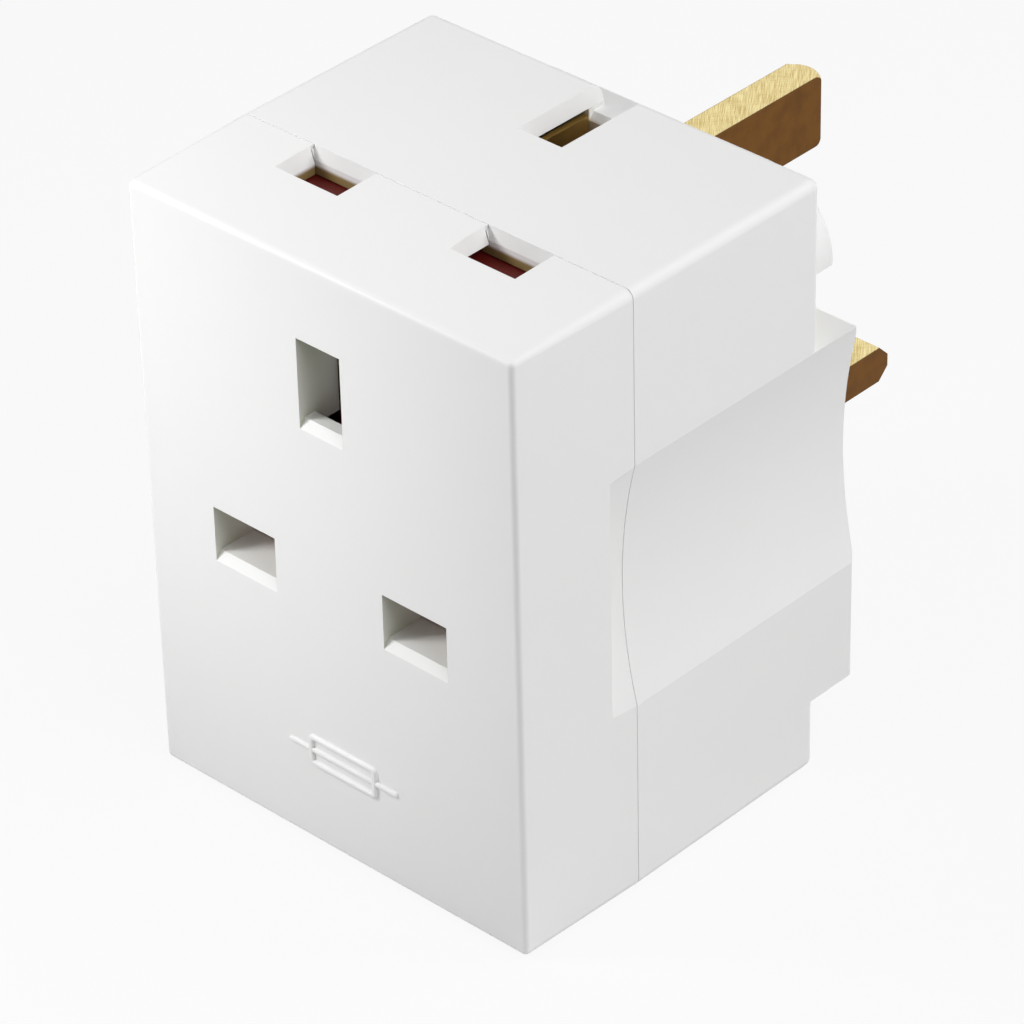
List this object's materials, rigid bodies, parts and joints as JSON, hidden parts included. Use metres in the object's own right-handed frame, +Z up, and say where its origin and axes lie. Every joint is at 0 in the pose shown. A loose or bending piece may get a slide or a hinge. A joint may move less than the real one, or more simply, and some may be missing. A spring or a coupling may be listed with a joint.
{
  "type": "multi socket adapter",
  "caption": "Plug-in fused adapter: white two-part box with flat pins at the back, shuttered socket slots on its front, top and bottom, and scooped side grips.",
  "frame": {"origin": "on the plug face, midway between the line and neutral pins", "axes": "+X to the right seen from the front, +Y back towards the wall along the pins, +Z up to the earth pin"},
  "size_m": [0.0494, 0.0697, 0.0672],
  "materials": {
    "white_plastic": "satin",
    "red_plastic": "satin",
    "brass": "milled",
    "sleeve_plastic": "matt",
    "spring_steel": "bright",
    "screw_steel": "zinc plated",
    "fuse_ceramic": "matt",
    "nickel": "plated",
    "carrier_plastic": "satin"
  },
  "bodies": {
    "housing": {"front_cover": "white_plastic", "rear_body": "white_plastic", "front_shutter_spring": "spring_steel", "top_shutter_spring": "spring_steel", "bottom_shutter_spring": "spring_steel", "earth_pin": "brass", "line_pin": "brass", "neutral_pin": "brass", "line_sleeve": "sleeve_plastic", "neutral_sleeve": "sleeve_plastic", "earth_bar": "brass", "line_bar": "brass", "neutral_bar": "brass", "line_fuse_clip": "brass", "load_fuse_clip": "brass", "assembly_screws": "screw_steel"},
    "front_shutter": {"front_shutter": "red_plastic"},
    "top_shutter": {"top_shutter": "red_plastic"},
    "bottom_shutter": {"bottom_shutter": "red_plastic"},
    "fuse_carrier": {"fuse_carrier": "carrier_plastic", "fuse_barrel": "fuse_ceramic", "fuse_end_caps": "nickel"}
  },
  "joints": [
    {"name": "front_shutter_slide", "type": "slide", "parent": "housing", "child": "front_shutter", "axis": [0, 0, -1], "range_m": [0, 0.0058], "stiffness_N_per_m": 80, "springref_m": -0.005, "deforming": ["front_shutter_spring"]},
    {"name": "top_shutter_slide", "type": "slide", "parent": "housing", "child": "top_shutter", "axis": [0, -1, 0], "range_m": [0, 0.0058], "stiffness_N_per_m": 80, "springref_m": -0.005, "deforming": ["top_shutter_spring"]},
    {"name": "bottom_shutter_slide", "type": "slide", "parent": "housing", "child": "bottom_shutter", "axis": [0, -1, 0], "range_m": [0, 0.0058], "stiffness_N_per_m": 80, "springref_m": -0.005, "deforming": ["bottom_shutter_spring"]},
    {"name": "fuse_carrier_slide", "type": "slide", "parent": "housing", "child": "fuse_carrier", "axis": [0, 1, 0], "range_m": [0, 0.014]}
  ]
}
